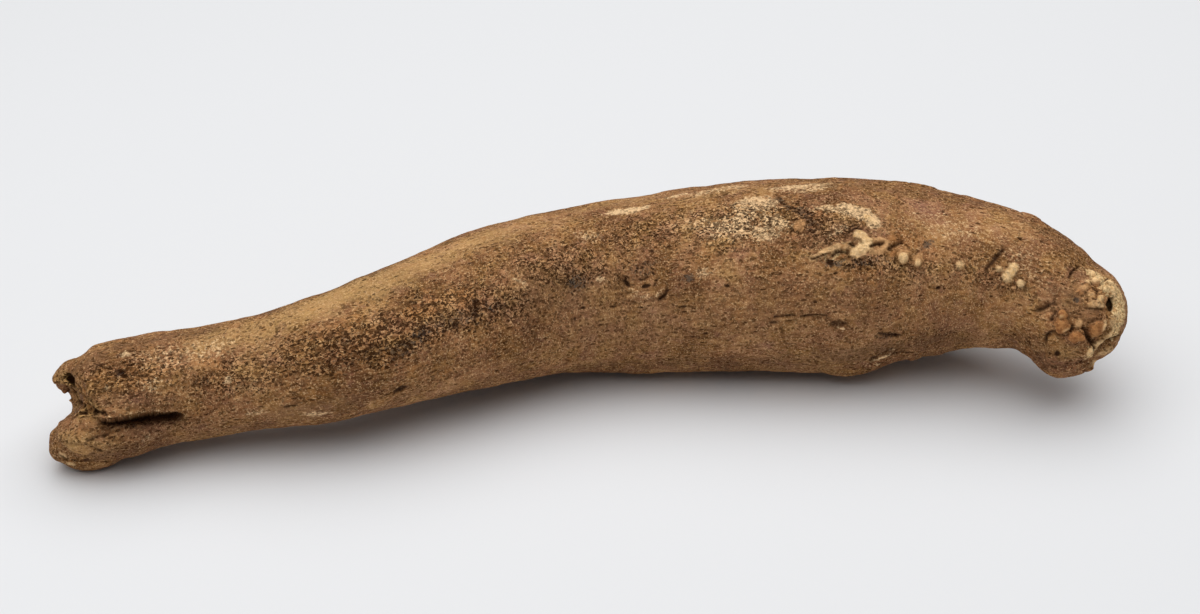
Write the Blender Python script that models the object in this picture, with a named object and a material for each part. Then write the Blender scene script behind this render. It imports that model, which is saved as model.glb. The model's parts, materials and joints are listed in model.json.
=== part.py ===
"""A seal's baculum, fossilised and broken at its base, lying on its side.

The frame is in metres, +Z up. The bone's length runs along X, from the cleft base at -X to the knobbed tip
at +X. Its bow bulges towards +Y, so both ends come forward to -Y. Z is 0 where it lies on a surface.
"""

import math
from collections import namedtuple

import bmesh
import bpy
from mathutils import Euler, Vector, noise

MM = 0.001

# How finely the bone is drawn before its pieces are fused, and what is kept of it afterwards.
RINGS = 150
SIDES = 80
PEBBLE_SUBDIVISIONS = 3
FUSED_VOXEL = 0.7 * MM
FUSED_SMOOTHING = 3
SHARE_OF_FACES_KEPT = 0.075

# Slow swellings of the whole surface: how high they are and how far apart.
SWELLING_HEIGHT = 0.45 * MM
SWELLING_SPACING = 15 * MM
# Knobbly roughness of each pebble, as shares of its radii.
KNOB_HEIGHT = 0.12
KNOBS_PER_RADIUS = 1.4

# The slab that the resting side is worn flat against.
SLAB_LENGTH = 300 * MM
SLAB_DEPTH = 20 * MM

# Where the origin lies in the measurements below: under the middle of the bone's box.
ORIGIN = Vector((-2.4, -0.2, 0)) * MM

# The core line of the bone and its girth, in millimetres. up, down, near and far are how far the surface
# lies from the core line towards +Z, -Z, -Y and +Y.
Station = namedtuple("Station", "x y z up down near far")
STATIONS = [
    Station(-108.5, -10.2, 11.6, 4, 4, 4, 4),
    Station(-106.5, -10.2, 11.6, 8.5, 7, 8, 8),
    Station(-101.5, -11.2, 11.1, 11, 9.5, 11.5, 11.5),
    Station(-95.5, -11.2, 11.6, 12, 10.5, 12, 12.5),
    Station(-90.5, -10.6, 11.9, 11.8, 9.5, 11.5, 12.5),
    Station(-80.3, -9.6, 13, 11.2, 9.2, 11, 12.5),
    Station(-70.2, -9.4, 14, 11.2, 10, 11.7, 12),
    Station(-60, -9.2, 15.5, 12, 11.8, 13, 13),
    Station(-50, -8, 17.5, 12.5, 13, 14, 13.5),
    Station(-40, -4.5, 18, 13.5, 14, 14.5, 14.5),
    Station(-30, -0.5, 18, 14.2, 14.5, 16, 16),
    Station(-20, 4, 18, 15.5, 15.5, 17, 17),
    Station(-7, 7.5, 17.5, 16, 16, 17.5, 18),
    Station(5, 9, 17, 17.3, 17.3, 18.8, 19.3),
    Station(18, 9, 17.5, 18, 18, 20.6, 20),
    Station(30, 7.5, 18.5, 18.5, 18.5, 21, 20.5),
    Station(42, 6, 18.5, 19.5, 19, 21, 21),
    Station(52, 4, 19, 19.6, 19, 21.5, 20.8),
    Station(63, 1.5, 20, 18.2, 17.5, 19, 18.5),
    Station(73, -2, 21, 15.6, 15.9, 17.4, 17),
    Station(81, -7, 21.5, 14.2, 13.3, 14.4, 15.4),
    Station(87, -11, 21, 12.8, 11, 12.5, 14),
    Station(93, -15, 19, 11, 12.5, 13.5, 12),
    Station(98, -18, 18, 9, 11, 12, 9.5),
    Station(101, -20, 16.5, 4.5, 5, 5.5, 5),
]

# A rounded stone shape: its middle and its radii in millimetres, and how it is turned in degrees.
Pebble = namedtuple("Pebble", "name middle radii turn")
BREAKS = [
    Pebble("fracture", (-110.1, -19.9, 19.5), (9, 16, 9.5), (0, 15, 33)),
    Pebble("notch", (-107.1, -11.2, 12.4), (4.3, 14, 3.4), (-32, 0, 15)),
]
LUMPS = [
    Pebble("base_lobe", (-102.6, -14.9, 5.4), (8, 6, 5.7), (0, 0, 0)),
    Pebble("keel_corner", (49, -6.5, 6.5), (7, 5, 3.5), (0, 0, 0)),
    Pebble("keel_ledge", (58, -10.5, 9.5), (7, 3, 2.6), (0, -20, 0)),
    Pebble("tip_end", (96.9, -20, 19.3), (6.2, 8, 8.9), (0, 5, -30)),
    Pebble("tip_heel", (90, -21.5, 13.4), (6.2, 6, 5.8), (0, 0, -30)),
    Pebble("tip_shoulder", (93.6, -17, 25.3), (4.6, 5, 3.5), (0, 30, -30)),
    Pebble("tip_nodule_round", (87.2, -26.5, 23.4), (2.4, 1.8, 2.9), (-24, 0, 0)),
    Pebble("tip_nodule_middle", (90.2, -27.6, 20.5), (2.7, 1.9, 2.4), (0, 0, 0)),
    Pebble("tip_nodule_side", (94.9, -26.7, 22), (2.4, 2, 2.6), (0, 0, 0)),
    Pebble("tip_nodule_low", (92.6, -27.2, 16.8), (2.7, 1.9, 2.3), (0, 0, 0)),
    Pebble("tip_nodule_heel", (88, -26, 15), (2.6, 1.8, 2.3), (0, 0, 0)),
    Pebble("tip_crust_top", (95.6, -18.2, 28), (2.2, 1.8, 1.4), (0, 0, 0)),
    Pebble("tip_crust_back", (93.4, -20.9, 27.6), (1.7, 1.6, 1.4), (0, 0, 0)),
    Pebble("tip_crust_edge", (98.4, -21.7, 26.9), (2, 1.8, 1.7), (0, 0, 0)),
    Pebble("tip_crust_front", (95.6, -23.9, 25.9), (2, 1.8, 1.5), (0, 0, 0)),
    Pebble("crest_crust", (50.4, -9, 33.5), (2.2, 1.2, 1.6), (0, 30, 0)),
    Pebble("crest_bead_first", (58.9, -11.9, 31.4), (1.6, 1.2, 1.6), (0, 0, 0)),
    Pebble("crest_bead_second", (61.8, -12.6, 30.6), (1.4, 1.1, 1.8), (0, 0, 0)),
    Pebble("crest_bead_third", (79.2, -17.3, 29.8), (1.3, 1.1, 1.8), (0, 15, 0)),
    Pebble("crest_bead_fourth", (80.9, -19.2, 28.2), (1.3, 1.1, 1.5), (0, 0, 0)),
]
HOLLOWS = [
    Pebble("fracture", (-110.5, -24, 19.5), (11, 9.5, 6), (0, 28, 35)),
    Pebble("fracture_corner", (-101, -27.5, 18.5), (5, 4, 2.6), (0, 25, 15)),
    Pebble("cleft", (-95, -21.2, 13.9), (12.5, 6, 1.2), (22, 4, 0)),
    Pebble("cleft_foot", (-97.5, -23.8, 12), (10, 3.2, 2.2), (10, 4, 0)),
    Pebble("marrow_top", (-104.5, -12.7, 18.2), (1.9, 2, 1.3), (0, 0, 30)),
    Pebble("marrow_low", (-100.7, -18.7, 15.1), (2.2, 2, 1.4), (0, 0, 30)),
    Pebble("flank_pit", (45.3, -15.7, 19.7), (2.2, 1.1, 0.9), (0, 0, 0)),
    Pebble("tip_hole", (97.5, -24.7, 25.3), (1, 2, 1.2), (0, 0, 0)),
    Pebble("crack_under_round", (86.5, -27.6, 20.8), (2.3, 1.6, 0.7), (0, 10, 0)),
    Pebble("crack_behind_round", (84.3, -23.7, 24.9), (2, 1.3, 0.7), (0, -35, 0)),
    Pebble("crack_beside_round", (85.4, -26, 24.4), (0.7, 1.4, 2), (-24, 20, 0)),
    Pebble("crack_middle", (92.6, -28.8, 21), (0.7, 1.6, 2.6), (0, -25, 0)),
    Pebble("crack_end", (97.8, -26.8, 17), (3.2, 1.6, 0.7), (0, -35, 0)),
]


def catmull_rom(before, start, end, after, t):
    """The value at t between start and end, on a smooth curve through all four."""
    return 0.5 * (
        2 * start
        + (end - before) * t
        + (2 * before - 5 * start + 4 * end - after) * t**2
        + (3 * start - before - 3 * end + after) * t**3
    )


def station_at(t):
    """The station at t, from 0 at the base to 1 at the tip, in metres."""
    last = len(STATIONS) - 1
    place = t * last
    low = min(int(place), last - 1)
    around = [STATIONS[max(0, min(last, low + step))] for step in (-1, 0, 1, 2)]
    return Station(*(catmull_rom(*values, place - low) * MM for values in zip(*around)))


def core(t):
    here = station_at(t)
    return Vector((here.x, here.y, here.z)) - ORIGIN


def reach(here, angle):
    """How far a station's section reaches at an angle: 0 is near, a quarter turn is up."""
    side = here.near if math.cos(angle) > 0 else here.far
    rise = here.up if math.sin(angle) > 0 else here.down
    return 1 / math.hypot(math.cos(angle) / side, math.sin(angle) / rise)


def section(t):
    """The points of the bone's surface round its core line at t, square to that line."""
    step = 0.004
    along = (core(min(1, t + step)) - core(max(0, t - step))).normalized()
    near = along.cross(Vector((0, 0, 1))).normalized()
    up = near.cross(along)
    here = station_at(t)
    points = []
    for side in range(SIDES):
        angle = math.tau * side / SIDES
        outward = near * math.cos(angle) + up * math.sin(angle)
        point = core(t) + outward * reach(here, angle)
        points.append(point + outward * SWELLING_HEIGHT * noise.noise(point / SWELLING_SPACING))
    return points


def loft():
    """The bone's body: its sections joined from the base to the tip and closed at both ends."""
    bm = bmesh.new()
    rings = []
    for index in range(RINGS + 1):
        even = index / RINGS
        rounded = (1 - math.cos(math.pi * even)) / 2
        rings.append([bm.verts.new(point) for point in section((even + rounded) / 2)])
    for first, second in zip(rings, rings[1:]):
        for side in range(SIDES):
            following = (side + 1) % SIDES
            bm.faces.new((first[side], first[following], second[following], second[side]))
    for end, t in ((rings[0], 0), (rings[-1], 1)):
        pole = bm.verts.new(core(t))
        for side in range(SIDES):
            bm.faces.new((end[side], end[(side + 1) % SIDES], pole))
    bmesh.ops.recalc_face_normals(bm, faces=bm.faces)
    mesh = bpy.data.meshes.new("baculum")
    bm.to_mesh(mesh)
    bm.free()
    return mesh


def add_pebble(pebble, collection):
    """A knobbly ellipsoid that is fused to the bone, or cut from it."""
    bm = bmesh.new()
    bmesh.ops.create_icosphere(bm, subdivisions=PEBBLE_SUBDIVISIONS, radius=1)
    middle = Vector(pebble.middle)
    for vertex in bm.verts:
        knob = noise.noise(vertex.co * KNOBS_PER_RADIUS + middle)
        vertex.co *= 1 + KNOB_HEIGHT * knob
    mesh = bpy.data.meshes.new(pebble.name)
    bm.to_mesh(mesh)
    bm.free()
    for vertex in mesh.vertices:
        vertex.co = Vector(part * radius * MM for part, radius in zip(vertex.co, pebble.radii))
    obj = bpy.data.objects.new(pebble.name, mesh)
    obj.location = middle * MM - ORIGIN
    obj.rotation_euler = Euler(math.radians(degrees) for degrees in pebble.turn)
    obj.hide_render = True
    obj.display_type = "WIRE"
    collection.objects.link(obj)


def pebble_collection(name, pebbles):
    collection = bpy.data.collections.new(name)
    bpy.context.scene.collection.children.link(collection)
    for pebble in pebbles:
        add_pebble(pebble, collection)
    return collection


def add_slab():
    """The surface that the bone lies on, as a block. It wears the lowest parts flat at Z 0."""
    bm = bmesh.new()
    bmesh.ops.create_cube(bm, size=1)
    bmesh.ops.scale(bm, vec=(SLAB_LENGTH, SLAB_LENGTH, SLAB_DEPTH), verts=bm.verts)
    bmesh.ops.translate(bm, vec=(0, 0, -SLAB_DEPTH / 2), verts=bm.verts)
    mesh = bpy.data.meshes.new("slab")
    bm.to_mesh(mesh)
    bm.free()
    slab = bpy.data.objects.new("slab", mesh)
    slab.hide_render = True
    slab.display_type = "WIRE"
    bpy.context.scene.collection.objects.link(slab)
    return slab


def add_boolean(obj, name, operation, collection=None, other=None):
    modifier = obj.modifiers.new(name, "BOOLEAN")
    modifier.operation = operation
    modifier.solver = "EXACT"
    if collection:
        modifier.operand_type = "COLLECTION"
        modifier.collection = collection
    else:
        modifier.object = other
    return modifier


def bone_material():
    material = bpy.data.materials.new("fossil_bone")
    material.use_nodes = True
    shader = material.node_tree.nodes["Principled BSDF"]
    shader.inputs["Base Color"].default_value = (0.27, 0.16, 0.085, 1)
    shader.inputs["Roughness"].default_value = 0.75
    shader.inputs["Metallic"].default_value = 0
    return material


def add_bone():
    """The whole bone: its body with the lumps fused on, the breaks cut away, and its resting side worn flat."""
    bone = bpy.data.objects.new("baculum", loft())
    bone.data.materials.append(bone_material())
    bpy.context.scene.collection.objects.link(bone)
    add_boolean(bone, "breaks", "DIFFERENCE", collection=pebble_collection("breaks", BREAKS))
    add_boolean(bone, "lumps", "UNION", collection=pebble_collection("lumps", LUMPS))
    add_boolean(bone, "hollows", "DIFFERENCE", collection=pebble_collection("hollows", HOLLOWS))
    fused = bone.modifiers.new("fused", "REMESH")
    fused.mode = "VOXEL"
    fused.voxel_size = FUSED_VOXEL
    softened = bone.modifiers.new("softened", "SMOOTH")
    softened.factor = 0.5
    softened.iterations = FUSED_SMOOTHING
    thinned = bone.modifiers.new("thinned", "DECIMATE")
    thinned.ratio = SHARE_OF_FACES_KEPT
    add_boolean(bone, "worn_flat", "DIFFERENCE", other=add_slab())
    return bone


def main():
    for obj in list(bpy.data.objects):
        bpy.data.objects.remove(obj, do_unlink=True)
    add_bone()


main()
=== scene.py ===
"""The looks of the fossil baculum: its porous skin with crust, cracks and stains, and its floor, light and camera.

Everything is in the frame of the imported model, in metres, except where a name says mm. A spot on the bone is
placed by the pixel of the photograph that shows it, as the scene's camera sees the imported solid.
"""

import json
import math
from collections import namedtuple

import bpy
import numpy as np
from mathutils import Matrix, Vector, noise
from mathutils.bvhtree import BVHTree

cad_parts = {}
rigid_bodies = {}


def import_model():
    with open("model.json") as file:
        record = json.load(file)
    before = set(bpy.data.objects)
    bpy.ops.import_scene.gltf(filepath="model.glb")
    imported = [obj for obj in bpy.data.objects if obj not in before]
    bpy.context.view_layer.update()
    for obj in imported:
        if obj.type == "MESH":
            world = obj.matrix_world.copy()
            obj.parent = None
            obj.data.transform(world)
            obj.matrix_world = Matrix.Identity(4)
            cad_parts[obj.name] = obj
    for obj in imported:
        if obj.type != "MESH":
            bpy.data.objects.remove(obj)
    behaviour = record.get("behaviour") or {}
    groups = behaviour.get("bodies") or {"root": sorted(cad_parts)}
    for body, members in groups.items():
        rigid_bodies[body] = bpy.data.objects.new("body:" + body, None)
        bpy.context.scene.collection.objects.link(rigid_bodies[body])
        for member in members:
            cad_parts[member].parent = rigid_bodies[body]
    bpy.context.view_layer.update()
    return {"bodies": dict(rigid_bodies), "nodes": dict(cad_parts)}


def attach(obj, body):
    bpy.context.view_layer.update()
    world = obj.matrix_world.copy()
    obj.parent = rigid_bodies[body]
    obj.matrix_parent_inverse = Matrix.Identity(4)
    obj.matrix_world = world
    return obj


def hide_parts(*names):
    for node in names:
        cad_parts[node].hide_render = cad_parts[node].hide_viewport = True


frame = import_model()

MM = 0.001

# The photograph and the camera that sees it.
PHOTO_WIDTH = 1200
PHOTO_HEIGHT = 614
LENS = 65
SENSOR = 36
AZIMUTH = math.radians(-8)
ELEVATION = math.radians(32)
MM_PER_PIXEL = 0.2025
DISTANCE = MM_PER_PIXEL * MM * PHOTO_WIDTH * LENS / SENSOR
AIM = Vector((0.0024, 0.0002, 0.018))
BACK = Vector((math.sin(AZIMUTH) * math.cos(ELEVATION), -math.cos(AZIMUTH) * math.cos(ELEVATION), math.sin(ELEVATION)))
RIGHT = Vector((math.cos(AZIMUTH), math.sin(AZIMUTH), 0))
UP = BACK.cross(RIGHT)
EYE = AIM + BACK * DISTANCE
NEAREST_MM = 380
FARTHEST_MM = 520

# The bone's fine mesh.
FINE_VOXEL = 0.28 * MM
FACET_SMOOTHING = 22
MOST_TRIANGLES = 194000
KEPT_FINE_ABOVE = 0.3

# The skin's own relief: how high in mm, and how far apart in mm.
LUMP_HEIGHT = 0.3
LUMP_SPACING = 8
RUBBLE_HEIGHT = 0.17
RUBBLE_SPACING = 2.6
FIBRE_HEIGHT = 0.12
FIBRE_LENGTH = 7
FIBRE_WIDTH = 1.1
CRAG_DEPTH = 0.3
CRAG_SPACING = 3.2
PORE_DEPTH = 0.2
PORE_SPACING = 1.0
PORE_REACH = 0.42

# How a feature's outline strays, as a share of its radius, and in mm for a crack.
SPOT_WOBBLE = 0.32
RIDGE_WOBBLE = 0.35
FIELD_WOBBLE = 0.4
CRACK_WOBBLE = 0.13
MOAT_DEPTH = 0.35
MOAT_SHADE = 0.9
LEDGE_NEARNESS = 5
DOME_BLEND = 0.5
PIT_BLEND = 0.7

# A spot: the pixel at its middle, its radii in mm, its turn in degrees up from the picture's right, how far it
# rises in mm, or sinks if that is negative, and the tints it carries.
Spot = namedtuple("Spot", "u v long short turn rise tints")
SPOTS = [
    # The round nodules of the tip.
    Spot(1062, 323, 2.5, 2.0, 80, 0.25, {"amber": 0.75}),
    Spot(1064, 314, 1.4, 1.3, 0, 0.35, {"amber": 0.95}),
    Spot(1063, 327, 1.8, 1.7, 0, 0.4, {"amber": 0.95}),
    Spot(1061, 317, 0.7, 0.5, 30, 0.12, {"crust": 0.4}),
    Spot(1066, 330, 0.9, 0.5, 10, 0.12, {"crust": 0.45}),
    Spot(1076, 338, 2.1, 1.5, 5, 0.4, {"amber": 0.9}),
    Spot(1079, 323, 1.1, 0.9, 60, 0.25, {"amber": 0.6, "crust": 0.35}),
    Spot(1098, 330, 2.2, 1.8, 60, 0.45, {"amber": 0.95}),
    Spot(1106, 325, 1.6, 0.6, 65, 0.25, {"crust": 0.8, "amber": 0.5}),
    Spot(1047, 316, 1.5, 0.8, 15, 0.3, {"amber": 0.6, "pale_and_highlight": 0.6}),
    Spot(1081, 274, 1.8, 1.2, 20, 0.35, {"umber_and_shade": 0.6}),
    Spot(1085, 287, 1.1, 0.8, 30, 0.3, {"amber": 0.7, "crust": 0.3}),
    Spot(1080, 292, 0.9, 0.7, 0, 0.2, {"amber": 0.5}),
    Spot(1091, 295, 1.1, 0.9, 60, 0.3, {"amber": 0.6, "crust": 0.4}),
    Spot(1093, 305, 1.1, 1.0, 0, 0.3, {"amber": 0.7, "crust": 0.5}),
    Spot(1101, 298, 1.2, 0.9, 40, 0.3, {"crust": 0.8, "amber": 0.3}),
    Spot(1101, 305, 1.0, 0.8, 0, 0.3, {"crust": 0.7, "amber": 0.5}),
    Spot(1088, 314, 2.0, 1.3, -20, 0.2, {"umber_and_shade": 0.5, "smooth": 0.6}),
    Spot(1054, 343, 2.0, 1.4, -10, 0.3, {"rust": 0.4}),
    Spot(1070, 349, 1.6, 1.2, 0, 0.25, {"rust": 0.4}),
    Spot(1050, 360, 1.7, 1.2, -30, 0.4, {"rust": 0.4}),
    Spot(1092, 367, 1.3, 1.0, 30, 0.4, {"rust": 0.7}),
    Spot(1054, 371, 1.8, 1.0, -15, 0.5, {}),
    Spot(1074, 368, 2.0, 1.1, 5, 0.5, {"rust": 0.5}),
    # The yellow and cream crust of the tip.
    Spot(1092, 273, 1.1, 0.8, -40, 0.35, {"crust": 1}),
    Spot(1096, 279, 1.4, 0.8, 40, 0.35, {"crust": 0.95}),
    Spot(1089, 281, 1.0, 0.7, 30, 0.3, {"crust": 0.9}),
    Spot(1103, 282, 1.1, 0.8, -40, 0.3, {"umber_and_shade": 0.7}),
    Spot(1106, 287, 0.9, 0.7, 20, 0.25, {"crust": 0.6}),
    Spot(1110, 282, 1.2, 0.8, -50, 0.4, {"crust": 1}),
    Spot(1113, 290, 1.3, 0.9, -60, 0.4, {"crust": 1}),
    Spot(1114, 297, 1.0, 0.8, -60, 0.3, {"crust": 0.9}),
    Spot(1112, 322, 1.2, 0.9, 70, 0.2, {"crust": 0.6}),
    Spot(1099, 343, 1.6, 0.7, 40, 0.3, {"crust": 0.85}),
    Spot(1109, 334, 1.8, 0.6, 45, 0.3, {"crust": 0.75}),
    Spot(1104, 350, 2.2, 0.8, 38, 0.3, {"crust": 0.4}),
    Spot(1090, 352, 1.3, 0.7, 60, 0.25, {"crust": 0.95}),
    Spot(1091, 359, 0.9, 0.6, 20, 0.2, {"crust": 0.7}),
    # The beads along the crest, the first two with a collar of crust.
    Spot(904, 255, 2.0, 1.6, 75, 0.25, {"crust": 0.25, "amber": 0.9}),
    Spot(904, 258, 1.2, 1.05, 60, 0.35, {"crust": 1}),
    Spot(918, 261, 1.8, 1.3, 75, 0.25, {"crust": 0.25, "amber": 0.9}),
    Spot(918, 263, 1.0, 0.8, 70, 0.25, {"crust": 0.9}),
    Spot(960, 265, 1.1, 0.95, 60, 0.3, {"crust": 0.75, "amber": 0.6}),
    Spot(999, 269, 0.85, 0.75, 0, 0.25, {"crust": 0.8, "amber": 0.5}),
    Spot(1021, 284, 1.25, 1.0, 100, 0.4, {"crust": 1}),
    # The ochre lumps of the crest.
    Spot(893, 254, 1.0, 0.7, 20, 0.25, {"amber": 0.7}),
    Spot(841, 257, 1.4, 0.5, 15, 0.25, {"amber": 0.5}),
    Spot(893, 238, 1.2, 0.7, -20, 0.2, {"amber": 0.5}),
    Spot(800, 226, 1.4, 1.7, 0, 0.35, {"amber": 0.9, "crust": 0.2}),
    Spot(870, 219, 2.2, 0.9, -35, 0.25, {"crust": 0.8}),
    # Hollows of the tip; most are painted dark as shade.
    Spot(1109, 307, 1.3, 0.6, 85, -1.4, {"recess_shade": 1}),
    Spot(1111, 299, 0.6, 0.35, 60, -0.5, {"recess_shade": 0.7}),
    Spot(1077, 299, 0.9, 0.6, 0, -0.3, {"blue": 1}),
    Spot(1030, 338, 0.5, 0.35, 0, -0.4, {"recess_shade": 0.8}),
    Spot(1029, 342, 0.5, 0.35, 20, -0.4, {"recess_shade": 0.8}),
    Spot(1057, 354, 0.7, 0.5, 50, -0.6, {"recess_shade": 1}),
    # Lone pits of the shaft, painted dark as shade.
    Spot(1021, 239, 0.45, 0.35, 0, -0.3, {"recess_shade": 0.8}),
    Spot(1042, 241, 0.45, 0.4, 0, -0.3, {"recess_shade": 0.9}),
    Spot(836, 273, 0.55, 0.35, 20, -0.4, {"recess_shade": 0.9}),
    Spot(938, 288, 0.6, 0.4, 20, -0.45, {"recess_shade": 1}),
    Spot(943, 211, 0.5, 0.35, 0, -0.3, {"recess_shade": 0.8}),
    Spot(830, 262, 0.8, 0.6, 0, -0.55, {"recess_shade": 1}),
    Spot(652, 251, 0.5, 0.4, 0, -0.35, {"recess_shade": 0.9}),
    Spot(727, 286, 0.6, 0.4, 10, -0.4, {"recess_shade": 1}),
    Spot(683, 307, 0.7, 0.3, 5, -0.3, {"recess_shade": 0.8}),
    Spot(584, 308, 0.5, 0.35, 0, -0.35, {"recess_shade": 0.9}),
    Spot(575, 319, 0.5, 0.4, 0, -0.35, {"recess_shade": 0.9}),
    Spot(706, 334, 0.5, 0.3, 10, -0.3, {"recess_shade": 0.8}),
    Spot(747, 228, 0.6, 0.5, 0, -0.35, {"recess_shade": 0.9}),
    Spot(401, 390, 1.6, 0.8, 10, -0.6, {"recess_shade": 0.85, "blue": 0.6}),
    Spot(838, 324, 2.1, 0.8, 3, -0.55, {"recess_shade": 0.75}),
    Spot(842, 328, 1.9, 0.35, -8, 0.2, {"pale_and_highlight": 0.8}),
    Spot(815, 302, 0.5, 0.35, 0, -0.3, {"recess_shade": 0.8}),
    # The shell-shaped scar.
    Spot(644, 288, 4.6, 3.8, 10, -0.3, {"smooth": 0.3}),
    Spot(643, 297, 3.4, 1.0, 2, 0.35, {"pale_and_highlight": 0.4}),
    Spot(645, 305, 2.6, 0.7, 8, 0.15, {"ochre": 0.4}),
    Spot(660, 292, 1.7, 0.7, 50, 0.35, {"pale_and_highlight": 0.5}),
    Spot(634, 291, 2.0, 0.7, -25, 0.3, {"pale_and_highlight": 0.5}),
    Spot(627, 283, 1.1, 0.5, -45, -0.5, {"recess_shade": 1}),
    Spot(646, 286, 1.0, 0.45, 12, -0.5, {"recess_shade": 1}),
    Spot(653, 273, 0.6, 0.25, -50, -0.35, {"recess_shade": 1}),
    Spot(614, 307, 0.4, 0.3, 0, -0.3, {"recess_shade": 0.8}),
    Spot(641, 307.5, 0.5, 0.2, 0, -0.25, {"recess_shade": 0.8}),
    Spot(685, 290, 0.4, 0.3, 0, -0.25, {"recess_shade": 0.8}),
    # Small steps in the outline.
    Spot(924, 187, 3.0, 1.4, -5, 0.3, {}),
    Spot(972, 199, 3.4, 1.5, -10, 0.35, {}),
    Spot(1002, 208, 2.4, 1.2, -10, 0.35, {}),
    Spot(1031, 218, 2.4, 1.2, -35, 0.3, {}),
    Spot(1088, 259, 1.8, 1.1, -45, 0.3, {}),
    Spot(965, 347, 1.8, 1.0, 0, 0.35, {}),
    Spot(914, 357, 1.6, 1.0, 10, 0.4, {}),
    Spot(1030, 356, 1.4, 1.0, -40, 0.4, {}),
    Spot(1040, 366, 1.5, 1.0, -40, 0.55, {}),
    # The base: marrow hollows of the fracture, and the lower lobe's holes, which are painted dark as shade.
    Spot(73, 380, 1.6, 1.1, -45, -1.0, {"recess_shade": 1}),
    Spot(69, 387, 1.1, 0.5, -45, -0.6, {"recess_shade": 0.9}),
    Spot(79, 389, 1.0, 0.5, -50, -0.6, {"recess_shade": 0.95}),
    Spot(74, 396, 0.9, 0.4, -40, -0.5, {"recess_shade": 0.9}),
    Spot(85, 399, 0.8, 0.4, -50, -0.5, {"recess_shade": 0.85}),
    Spot(66, 391, 0.9, 0.3, -45, 0.3, {"amber": 0.9}),
    Spot(74, 390, 0.9, 0.3, -50, 0.3, {"amber": 0.9, "crust": 0.2}),
    Spot(79, 396, 1.0, 0.3, -45, 0.3, {"amber": 0.9, "crust": 0.3}),
    Spot(84, 392, 0.9, 0.3, -60, 0.3, {"amber": 0.9}),
    Spot(72, 400, 0.9, 0.35, -20, 0.3, {"amber": 0.9, "crust": 0.3}),
    Spot(80, 402, 0.9, 0.35, 10, 0.3, {"amber": 0.9, "crust": 0.3}),
    Spot(92, 410, 1.7, 0.7, -20, -0.9, {"recess_shade": 1, "red": 0.5}),
    Spot(104, 414, 1.0, 0.5, -30, -0.6, {"recess_shade": 1}),
    Spot(84, 413, 1.0, 0.5, 20, -0.5, {"recess_shade": 0.9, "red": 1}),
    Spot(103, 412, 2.2, 0.35, -38, 0.3, {"pale_and_highlight": 0.3}),
    Spot(99, 364, 0.8, 0.4, 0, -0.35, {"recess_shade": 0.8}),
    Spot(119, 371, 1.1, 0.7, -20, -0.5, {"recess_shade": 0.7, "blue": 0.7}),
    Spot(125, 375, 0.8, 0.5, 0, -0.35, {"recess_shade": 0.7}),
    Spot(130, 364, 0.6, 0.5, 0, -0.35, {"recess_shade": 0.8}),
    Spot(125, 353, 0.9, 0.5, 10, 0.2, {"pale_and_highlight": 1}),
    Spot(118, 354, 0.7, 0.4, 0, 0.15, {"red": 0.8}),
    Spot(139, 385, 0.7, 0.4, 10, -0.3, {"recess_shade": 0.7}),
    Spot(80, 450, 3.2, 1.5, 5, 0.3, {"ochre": 1, "smooth": 0.8}),
    Spot(63, 456, 1.2, 0.7, -30, 0.2, {"crust": 0.55}),
    Spot(64, 458, 0.9, 0.4, -30, -0.45, {"recess_shade": 0.8}),
    Spot(71, 464, 1.0, 0.5, -15, 0.2, {"crust": 0.6}),
    Spot(75, 461, 1.0, 0.3, -20, -0.3, {"recess_shade": 0.7}),
    Spot(99, 451, 0.7, 0.5, 0, -0.4, {"recess_shade": 0.9}),
    Spot(86, 460, 0.7, 0.45, 0, -0.35, {"recess_shade": 0.8, "red": 0.8}),
    Spot(107, 461, 0.7, 0.4, 20, -0.35, {"recess_shade": 0.8}),
    # The lip of the keel's ledge: a pale flaked edge, lightened further by painted highlight.
    Spot(882, 357, 2.4, 0.6, 25, 0.3, {"pale_and_highlight": 0.8}),
    Spot(893, 350, 1.2, 0.5, 40, 0.25, {"pale_and_highlight": 0.6}),
    Spot(877, 363, 0.8, 0.4, 10, 0.2, {"pale_and_highlight": 0.9}),
]

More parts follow.
